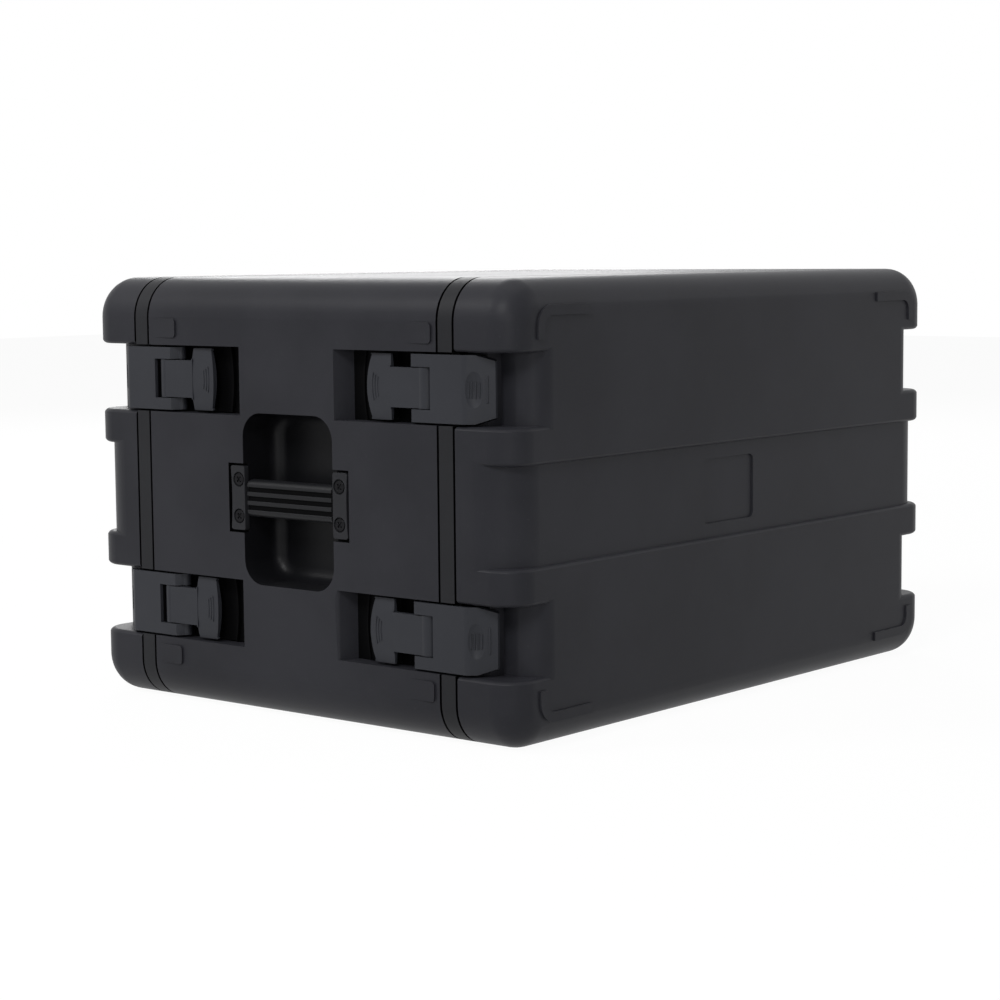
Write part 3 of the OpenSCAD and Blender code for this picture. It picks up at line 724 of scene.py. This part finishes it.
@dataclass
class Case:
    """The body, its rims and seals, and the two lids, with sizes in metres."""

    edge: float = 0.0005
    lid_edge: float = 0.0007
    body: Tuple[str, ...] = ("body_shell", "side_walls", "latch_trays", "left_handle_cup",
                             "right_handle_cup")
    lids: Tuple[str, ...] = ("front_lid", "rear_lid")
    rims: Tuple[str, ...] = ("front_rim", "rear_rim")
    seals: Tuple[str, ...] = ("front_gasket", "rear_gasket")
    recess_run: Run = Run((0.0150, 0.0492, 0.0), (0.0160, 0.0508, 0.0270), 0.0026)
    side: float = 0.2900
    pad_skin: float = 0.00002
    pad_size: Triple = (0.0016, 0.0270, 0.0150)
    pad_round: float = 0.0030
    pad_places: Span = (-0.1338, 0.1338)
    pad_rows: Span = (0.0395, 0.3005)
    # Boxes of faces that get painted shade: the clamp seats round the end plates and the inside of
    # the handle pockets.
    seat: Zone = Zone((0.0006, 0.0120), (0.0478, 0.0700), 0.0340)
    pocket: Zone = Zone((0.0010, 0.0385), (-0.0480, 0.0480), 0.0670)
    # The floors of the latch recesses, which get painted shade.
    well: Zone = Zone((-0.0010, 0.0010), (0.0565, 0.1685), 0.0262)
    # The rims' visible band and the width of the seams beside it, whose walls get painted shade.
    rim_band: Span = (0.1534, 0.1667)
    seam: float = 0.0022
    seam_facing: float = 0.9

    def build(self, bench: Bench) -> List[bpy.types.Object]:
        """Softens and dresses the mouldings.

        Args:
            bench: The tools.

        Returns:
            The new pieces.
        """
        made = [self.body_piece(bench)]
        bench.dress(bench.nodes["rail_bosses"], SHELL)
        for node in self.lids + self.rims:
            is_rim = node in self.rims
            piece = bench.softened_node(node, self.edge if is_rim else self.lid_edge)
            bench.dress(piece, RIM if is_rim else SHELL)
            self.shade_seams(piece, bench, is_rim)
            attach(piece, node if node.endswith("_lid") else "case")
            made.append(piece)
        for node in self.seals:
            bench.dress(bench.nodes[node], SEAL)
        return made

    def body_piece(self, bench: Bench) -> bpy.types.Object:
        """The body with its latch trays and handle cups grown together, as it is moulded.

        Args:
            bench: The tools.

        Returns:
            The body in one piece.
        """
        piece = bench.merged_copy(self.body[0])
        for node in self.body[1:]:
            bench.combine(piece, bench.merged_copy(node), Solid.ADD)
        piece.name = "body_soft"
        self.set_pads(piece, bench)
        bench.flatten(piece)
        latches = Latches()
        places = [latches.where(end, side, row) for end in End for side in Side for row in Row]
        run = self.recess_run
        for at in places:
            bench.round_edges(piece, run.picker(at.inverted()), run.width)
        bench.soften(piece, self.edge)
        bench.dress(piece, SHELL)
        # Painted shade in the seams, the latch recess floors and the handle pockets.
        self.shade_seams(piece, bench, False)
        self.shade_wells(piece, places)
        self.shade_pockets(piece, bench)
        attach(piece, "case")
        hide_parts(*self.body)
        return piece

    def pad_pattern(self, bench: Bench) -> bpy.types.Object:
        """A pad of the left side, which slopes up towards the front.

        Args:
            bench: The tools.

        Returns:
            The pattern, at the middle of the side's bottom edge.
        """
        rise, length, height = self.pad_size
        bench.clear()
        bpy.ops.mesh.primitive_cube_add(size=1.0, location=(-self.side, 0.0, 0.0))
        pad = bpy.context.object
        pad.scale = (2.0 * rise, length, height)
        bench.settle(pad)
        bench.shift(pad, lambda point: point.x < -self.side and point.y > 0.0, (rise, 0.0, 0.0))
        bench.round_edges(pad, lambda first, second: first.y < 0.0 and second.y < 0.0
                          and abs(first.z - second.z) < rise, self.pad_round)
        return pad

    def set_pads(self, piece: bpy.types.Object, bench: Bench) -> None:
        """Levels the sides of the body and sets the sloping pads on them.

        Args:
            piece: The body.
            bench: The tools.
        """
        limit = self.side + self.pad_skin
        for sign in (-1.0, 1.0):
            bench.mark_points(piece, lambda point: point.x * sign > limit)
            bpy.ops.transform.resize(value=(0.0, 1.0, 1.0),
                                     center_override=(sign * self.side, 0.0, 0.0))
            bpy.ops.mesh.select_all(action="SELECT")
            bpy.ops.mesh.dissolve_degenerate(threshold=WELD)
            bpy.ops.object.mode_set(mode="OBJECT")
        pattern = self.pad_pattern(bench)
        for turn in (0.0, math.pi):
            for along in self.pad_places:
                for height in self.pad_rows:
                    at = Matrix.Rotation(turn, 4, "Z") @ Matrix.Translation((0.0, along, height))
                    bench.combine(piece, bench.copy_to(pattern, "pad", at), Solid.ADD)
        bench.drop(pattern)

    def shade_pockets(self, piece: bpy.types.Object, bench: Bench) -> None:
        """Paints shade inside the handle pockets with a darker copy of the shell plastic, and a
        black painted shadow round the clamp seats.

        Args:
            piece: The body.
            bench: The tools.
        """
        piece.data.materials.append(bench.finish_of(POCKET))
        for face in piece.data.polygons:
            spot = (self.side - abs(face.center.x), abs(face.center.y),
                    abs(face.center.z - MIDDLE))
            if self.seat.holds(*spot):
                face.material_index = Coat.LINING.value
            elif self.pocket.holds(*spot):
                face.material_index = Coat.POCKET.value

    def shade_seams(self, piece: bpy.types.Object, bench: Bench, is_rim: bool) -> None:
        """Paints black shade onto the walls and floors of the seams beside the rims.

        Args:
            piece: A rim, a lid or the body.
            bench: The tools.
            is_rim: Whether the piece is a rim, which gets painted black shade outside its visible
                band.
        """
        piece.data.materials.append(bench.finish_of(BRACKET_AND_SHADE))
        near, far = self.rim_band
        for face in piece.data.polygons:
            along = abs(face.center.y)
            if is_rim:
                lined = not near < along < far
            else:
                lined = (abs(face.normal.y) > self.seam_facing
                         and near - self.seam < along < far + self.seam)
            if lined:
                face.material_index = Coat.LINING.value

    def shade_wells(self, piece: bpy.types.Object, places: Sequence[Matrix]) -> None:
        """Paints black shade onto the floors of the latch recesses.

        Args:
            piece: The body.
            places: The matrices of the latches.
        """
        backs = [at.inverted() for at in places]
        for face in piece.data.polygons:
            for back in backs:
                spot = back @ face.center
                if self.well.holds(spot.x, spot.y, abs(spot.z)):
                    face.material_index = Coat.LINING.value


@dataclass
class Latches:
    """The eight draw latches and their moulded details, in metres and degrees."""

    shelf: float = 0.2745
    row: float = 0.0905
    edge: float = 0.0006
    plate_angle: float = 24.0
    corner: Span = (0.0155, 0.1774)
    fold: float = 41.8
    dish_along: float = 0.0073
    dish_half: Span = (0.0066, 0.0128)
    dish_ball: Span = (0.0040, 0.0026)
    dish_facets: Tuple[int, int] = (64, 32)
    rib_steps: Tuple[float, ...] = (-1.5, -0.5, 0.5, 1.5)
    rib_gap: float = 0.0026
    rib_size: Triple = (0.00075, 0.0128, 0.0007)
    rib_shorter: float = 0.0011
    rib_aside: float = -0.0004
    rib_sunk: Span = (0.00115, 0.00016)
    rib_round: float = 0.0004
    rib_angle: float = 60.0
    rib_facets: int = 24
    bar_along: float = 0.0168
    bar_size: Triple = (0.0018, 0.0196, 0.0020)
    bar_round: float = 0.0006
    grip_ribs: Tuple[float, ...] = (0.0868, 0.0894, 0.0920)
    grip_top: Span = (0.01428, 0.0279)
    grip_reach: Span = (0.0100, 0.0014)
    grip_bow: float = 0.045
    grip_round: float = 0.00055
    grip_facets: Tuple[int, int] = (220, 10)
    pivot: float = 0.1365
    lever_runs: Tuple[Run, ...] = (
        Run((0.0085, 0.0820, 0.0240), (0.0120, 0.0864, 0.0247), 0.0030),
        Run((0.0060, 0.1338, 0.0143), (0.0150, 0.1350, 0.0151), 0.0022),
        Run((0.0141, 0.1338, 0.0000), (0.0147, 0.1350, 0.0151), 0.0012),
    )
    corner_fill: float = 0.0028
    made: List[bpy.types.Object] = field(default_factory=list)

    def words(self, spot: Spot) -> str:
        """The words for a latch's end, side and row in the names of nodes."""
        return "_".join(choice.name.lower() for choice in spot)

    def where(self, end: End, side: Side, row: Row) -> Matrix:
        """The matrix from a latch's own frame to the case's.

        Args:
            end: Front or rear.
            side: Left or right.
            row: Upper or lower.

        Returns:
            The matrix: X out of the recess floor, Y along the depth, Z up.
        """
        turn = Matrix.Diagonal((side.value, end.value, 1.0, 1.0))
        lift = Matrix.Translation((0.0, 0.0, MIDDLE + row.value * self.row))
        return lift @ turn @ Matrix.Translation((self.shelf, 0.0, 0.0))

    def on_fold(self, along: float) -> Matrix:
        """The matrix from a flat pattern's frame to the plate's folded face.

        Args:
            along: Distance from the fold's corner down the face.

        Returns:
            The matrix: X down the face, Y upright, Z out of it.
        """
        t = math.radians(self.fold)
        down = Vector((-math.sin(t), math.cos(t), 0.0))
        out = Vector((math.cos(t), math.sin(t), 0.0))
        turn = Matrix((down, Vector((0.0, 0.0, 1.0)), out)).transposed().to_4x4()
        spot = Vector((self.corner[0], self.corner[1], 0.0)) + down * along
        return Matrix.Translation(spot) @ turn

    def dish_cutter(self, bench: Bench) -> bpy.types.Object:
        """The ball that cuts the oval dish into the folded face.

        Args:
            bench: The tools.

        Returns:
            The cutter, in the latch's own frame.
        """
        bench.clear()
        around, rings = self.dish_facets
        bpy.ops.mesh.primitive_uv_sphere_add(segments=around, ring_count=rings, radius=1.0)
        ball = bpy.context.object
        deep, lift = self.dish_ball
        spread = 1.0 / math.sqrt(1.0 - (lift / deep) ** 2)
        ball.scale = (self.dish_half[0] * spread, self.dish_half[1] * spread, deep)
        ball.location = (0.0, 0.0, lift)
        bench.settle(ball)
        ball.data.transform(self.on_fold(self.dish_along))
        return ball

    def dish_ribs(self, bench: Bench) -> bpy.types.Object:
        """Four plain upright ribs that stand in the dish.

        Args:
            bench: The tools.

        Returns:
            The pattern, in the latch's own frame.
        """
        ribs = []
        wide, length, high = self.rib_size
        sunk, bowl = self.rib_sunk
        for k in self.rib_steps:
            bench.clear()
            bpy.ops.mesh.primitive_cylinder_add(vertices=self.rib_facets, radius=1.0, depth=1.0,
                                                rotation=(math.pi / 2, 0.0, 0.0))
            rib = bpy.context.object
            bench.settle(rib)
            rib.scale = (wide, length - abs(k) * self.rib_shorter, high)
            rib.location = (k * self.rib_gap, self.rib_aside, -sunk + bowl * k * k)
            bench.settle(rib)
            bench.soften(rib, self.rib_round, angle=self.rib_angle, steps=3)
            ribs.append(rib)
        return self.laid(bench, bench.join(ribs), self.dish_along)

    def laid(self, bench: Bench, piece: bpy.types.Object, along: float) -> bpy.types.Object:
        """Lays a piece made face up at the origin onto the plate's folded face.

        Args:
            bench: The tools.
            piece: The piece.
            along: Distance from the fold's corner.

        Returns:
            The same piece, in the latch's own frame.
        """
        piece.data.transform(self.on_fold(along))
        bench.face_outwards(piece)
        return piece

    def bar_pattern(self, bench: Bench) -> bpy.types.Object:
        """The raised upright bar near the plate's tip.

        Args:
            bench: The tools.

        Returns:
            The pattern, in the latch's own frame.
        """
        bench.clear()
        bpy.ops.mesh.primitive_cube_add(size=1.0, location=(0.0, 0.0, 0.0))
        bar = bpy.context.object
        bar.scale = self.bar_size
        bench.settle(bar)
        bench.soften(bar, self.bar_round, steps=4)
        return self.laid(bench, bar, self.bar_along)

    def rib_pattern(self, bench: Bench) -> bpy.types.Object:
        """Three curved grip ribs on the lever's crossbar.

        Args:
            bench: The tools.

        Returns:
            The pattern, in the latch's own frame.
        """
        ribs = []
        radius = self.grip_bow
        around, across = self.grip_facets
        for k, u in enumerate(self.grip_ribs):
            bench.clear()
            reach = self.grip_reach[0] - self.grip_reach[1] * k
            top = self.grip_top[0] - (self.pivot - u) * self.grip_top[1]
            bpy.ops.mesh.primitive_torus_add(
                major_radius=radius, minor_radius=self.grip_round, major_segments=around,
                minor_segments=across, location=(top, u + radius, 0.0),
                rotation=(0.0, math.pi / 2, 0.0))
            rib = bpy.context.object
            bench.settle(rib)
            bpy.ops.object.mode_set(mode="EDIT")
            for z, up in ((reach, 1.0), (-reach, -1.0)):
                bpy.ops.mesh.select_all(action="SELECT")
                bpy.ops.mesh.bisect(plane_co=(0, 0, z), plane_no=(0, 0, up), clear_outer=True,
                                    use_fill=True)
            bpy.ops.mesh.select_all(action="SELECT")
            bpy.ops.mesh.bisect(plane_co=(0, u + radius / 2, 0), plane_no=(0, 1, 0),
                                clear_outer=True)
            bench.face_outwards(rib)
            bpy.ops.object.shade_smooth_by_angle(angle=math.radians(SMOOTH_TURN))
            ribs.append(rib)
        return bench.join(ribs)

    def plate(self, bench: Bench, spot: Spot, cutter: bpy.types.Object) -> None:
        """Makes one latch plate with its dish.

        Args:
            bench: The tools.
            spot: Its end, side and row.
            cutter: The ball that cuts the dish, in the latch's own frame.
        """
        place = self.words(spot)
        plate = bench.merged_copy("plate_" + place)
        bench.combine(plate, bench.copy_to(cutter, "cutter", self.where(*spot)), Solid.CUT)
        bench.flatten(plate)
        bench.soften(plate, self.edge, angle=self.plate_angle)
        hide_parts("plate_" + place)
        self.keep(bench, plate, "plate_" + place)

    def lever(self, bench: Bench, spot: Spot) -> None:
        """Makes one lever with the rounder corners of its crossbar.

        Args:
            bench: The tools.
            spot: Its end, side and row.
        """
        place = self.words(spot)
        back = self.where(*spot).inverted()
        lever = bench.merged_copy("lever_" + place)
        bench.flatten(lever)
        corner = self.lever_runs[0].picker(back)
        bench.shift(lever, lambda point: corner(point, point),
                    (0.0, -spot[0].value * self.corner_fill, 0.0))
        for run in self.lever_runs:
            bench.round_edges(lever, run.picker(back), run.width)
        bench.soften(lever, self.edge)
        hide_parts("lever_" + place)
        self.keep(bench, lever, "lever_" + place)

    def build(self, bench: Bench) -> List[bpy.types.Object]:
        """Makes and dresses all the latches.

        Args:
            bench: The tools.

        Returns:
            The new pieces.
        """
        cutter = self.dish_cutter(bench)
        patterns = [("dish_ribs", "plate", self.dish_ribs(bench)),
                    ("bar", "plate", self.bar_pattern(bench)),
                    ("ribs", "lever", self.rib_pattern(bench))]
        for spot in [(end, side, row) for end in End for side in Side for row in Row]:
            self.plate(bench, spot, cutter)
            self.lever(bench, spot)
            for what, kind, pattern in patterns:
                name = "_".join((kind, what, self.words(spot)))
                copy = bench.copy_to(pattern, name, self.where(*spot))
                self.keep(bench, copy, kind + "_" + self.words(spot))
        for pattern in [cutter] + [entry[-1] for entry in patterns]:
            bench.drop(pattern)
        bench.dress(bench.nodes["latch_bases"], BRACKET_AND_SHADE)
        bench.dress(bench.nodes["latch_pins"], PLATED)
        bench.dress(bench.nodes["latch_rivets"], PLATED)
        return self.made

    def keep(self, bench: Bench, piece: bpy.types.Object, body: str) -> None:
        """Dresses a latch piece and lets it ride on its body.

        Args:
            bench: The tools.
            piece: The piece.
            body: Name of the body.
        """
        bench.dress(piece, LATCH)
        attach(piece, body)
        self.made.append(piece)


@dataclass
class Handles:
    """The two recessed carrying grips, with sizes in metres."""

    edge: float = 0.0006
    grip_edge: float = 0.0004
    screw_edge: float = 0.00035
    # Where the grip grooves lie and how deep in them the painted shade goes.
    grooves: Triple = (-0.0070, 0.0, 0.0070)
    groove_half: float = 0.0018
    groove_deep: Span = (0.0004, 0.0020)

    def shade_grooves(self, piece: bpy.types.Object, bench: Bench) -> None:
        """Paints black shade into the long grooves of a grip.

        Args:
            piece: The grip.
            bench: The tools.
        """
        piece.data.materials.append(bench.finish_of(BRACKET_AND_SHADE))
        top = max(abs(point.co.x) for point in piece.data.vertices)
        shallow, floor = self.groove_deep
        for face in piece.data.polygons:
            up = face.center.z - MIDDLE
            inside = any(abs(up - row) < self.groove_half for row in self.grooves)
            if inside and shallow < top - abs(face.center.x) < floor:
                face.material_index = Coat.LINING.value

    def build(self, bench: Bench) -> List[bpy.types.Object]:
        """Softens and dresses the grips, clamps and screws.

        Args:
            bench: The tools.

        Returns:
            The new pieces.
        """
        made = []
        parts = (("grip", GRIP, "grip", self.grip_edge),
                 ("end_plates", CLAMP, "end_plate", self.edge),
                 ("handle_screws", BLACKED, "black_steel", self.screw_edge))
        for side in ("left", "right"):
            for part, finish, slot, width in parts:
                piece = bench.softened_node(side + "_" + part, width)
                bench.dress(piece, finish)
                if part == "grip":
                    self.shade_grooves(piece, bench)
                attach(piece, "case")
                made.append(piece)
            bench.dress(bench.nodes[side + "_strap"], PLATED)
        return made


@dataclass
class Rack:
    """The four rack rails and their screws."""

    rails: Tuple[str, ...] = ("front_left_rail", "front_right_rail", "rear_left_rail",
                              "rear_right_rail")

    def build(self, bench: Bench) -> List[bpy.types.Object]:
        """Dresses the rails.

        Args:
            bench: The tools.

        Returns:
            No new pieces.
        """
        for node in self.rails:
            bench.dress(bench.nodes[node], COATED)
        bench.dress(bench.nodes["rail_screws"], PLATED)
        return []


@dataclass(frozen=True)
class Lamp:
    """A square soft lamp: its place, the point it faces, its side in metres and its watts."""

    name: str
    at: Triple
    aim: Triple
    size: float
    power: float

    def hang(self) -> None:
        """Puts the lamp into the scene."""
        data = bpy.data.lights.new(self.name, "AREA")
        data.size = self.size
        data.energy = self.power
        light = bpy.data.objects.new(self.name, data)
        bpy.context.scene.collection.objects.link(light)
        light.location = self.at
        light.rotation_mode = "QUATERNION"
        light.rotation_quaternion = (Vector(self.aim) - Vector(self.at)).to_track_quat("-Z", "Y")


@dataclass
class Studio:
    """White surroundings, soft lamps and the camera at the photograph's angle."""

    azimuth: float = -50.362
    elevation: float = 5.954
    roll: float = -0.527
    stand: Triple = (-1.5816, -1.2800, 0.3588)
    lens: float = 86.06
    sensor: float = 36.0
    clip: Span = (0.05, 60.0)
    floor_size: float = 14.0
    floor_level: float = -0.0006
    floor_grey: float = 0.8
    floor_glow: float = 1.04
    floor_share: float = 0.92
    world_colour: Colour = (0.94, 0.96, 1.0)
    world_light: float = 0.04
    lamps: Tuple[Lamp, ...] = (
        Lamp("top_lamp", (-0.2, -0.2, 2.6), (0.0, 0.0, 0.2), 1.8, 11.0),
        Lamp("front_left_lamp", (-2.7, -1.0, 2.3), (-0.1, -0.1, 0.17), 0.9, 48.0),
        Lamp("rear_left_lamp", (-2.3, 1.6, 2.3), (-0.2, 0.0, 0.17), 0.9, 30.0),
        Lamp("low_lamp", (-2.4, -2.3, 0.8), (-0.2, -0.2, 0.17), 0.25, 11.0),
        Lamp("front_right_lamp", (2.0, -2.4, 2.0), (0.0, -0.2, 0.17), 1.3, 8.0),
        Lamp("rear_right_lamp", (2.1, 2.1, 1.6), (0.1, 0.1, 0.17), 1.3, 32.0),
    )

    def camera(self) -> None:
        """Stands the camera where the photograph was taken."""
        a, e, r = (math.radians(v) for v in (self.azimuth, self.elevation, self.roll))
        back = Vector((math.sin(a) * math.cos(e), -math.cos(a) * math.cos(e), math.sin(e)))
        right = Vector((math.cos(a), math.sin(a), 0.0))
        up = back.cross(right)
        across = right * math.cos(r) + up * math.sin(r)
        above = up * math.cos(r) - right * math.sin(r)
        turn = Matrix((across, above, back)).transposed().to_4x4()
        data = bpy.data.cameras.new("camera")
        data.lens = self.lens
        data.sensor_width = self.sensor
        data.clip_start, data.clip_end = self.clip
        eye = bpy.data.objects.new("camera", data)
        bpy.context.scene.collection.objects.link(eye)
        eye.matrix_world = Matrix.Translation(self.stand) @ turn
        bpy.context.scene.camera = eye

    def surroundings(self) -> None:
        """A world that is white where it is seen or mirrored, and dimmer for the light it gives."""
        world = bpy.data.worlds.new("surroundings")
        bpy.context.scene.world = world
        g = Graph(world)
        path = g.add("ShaderNodeLightPath", {}, {})
        glossy, through, camera = (Value(g, path.outputs[name]) for name in (
            "Is Glossy Ray", "Is Transmission Ray", "Is Camera Ray"))
        seen = g.add("ShaderNodeBackground", {}, {"Color": (1.0, 1.0, 1.0, 1.0)})
        lit = g.add("ShaderNodeBackground", {}, {"Color": (*self.world_colour, 1.0),
                                                 "Strength": self.world_light})
        most = {"operation": "MAXIMUM"}
        mirrored = g.add("ShaderNodeMath", most, {0: glossy, 1: through})
        either = g.add("ShaderNodeMath", most, {0: camera, 1: Value(g, mirrored.outputs[0])})
        mix = g.add("ShaderNodeMixShader", {}, {
            0: Value(g, either.outputs[0]),
            1: Value(g, lit.outputs[0]),
            2: Value(g, seen.outputs[0]),
        })
        g.add("ShaderNodeOutputWorld", {}, {"Surface": Value(g, mix.outputs[0])})

    def floor(self) -> None:
        """A plain white floor that keeps a faint shadow."""
        bpy.ops.object.select_all(action="DESELECT")
        bpy.ops.mesh.primitive_plane_add(size=self.floor_size,
                                         location=(0.0, 0.0, self.floor_level))
        plane = bpy.context.object
        plane.name = "floor"
        g = Graph(bpy.data.materials.new("floor_paper"))
        matt = g.add("ShaderNodeBsdfDiffuse", {}, {"Color": (*[self.floor_grey] * 3, 1.0)})
        glow = g.add("ShaderNodeEmission", {}, {"Color": (1.0, 1.0, 1.0, 1.0),
                                                "Strength": self.floor_glow})
        path = g.add("ShaderNodeLightPath", {}, {})
        seen, glossy, through = (Value(g, path.outputs[name]) for name in (
            "Is Camera Ray", "Is Glossy Ray", "Is Transmission Ray"))
        mix = g.add("ShaderNodeMixShader", {}, {
            0: (seen + glossy + through) * self.floor_share,
            1: Value(g, matt.outputs[0]),
            2: Value(g, glow.outputs[0]),
        })
        g.add("ShaderNodeOutputMaterial", {}, {"Surface": Value(g, mix.outputs[0])})
        plane.data.materials.append(g.owner)

    def build(self) -> None:
        """Sets up the view, lamps, floor and camera."""
        scene = bpy.context.scene
        scene.view_settings.view_transform = "Standard"
        self.surroundings()
        self.floor()
        for lamp in self.lamps:
            lamp.hang()
        self.camera()


def main() -> None:
    """Builds every sub-assembly, then the studio."""
    logging.basicConfig(level=logging.INFO, format="%(message)s")
    bench = Bench(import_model()["nodes"])
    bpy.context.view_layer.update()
    for maker in (Case(), Latches(), Handles(), Rack()):
        for piece in maker.build(bench):
            LOG.info("%s: %d faces", piece.name, len(piece.data.polygons))
    Studio().build()


if __name__ == "__main__":
    main()
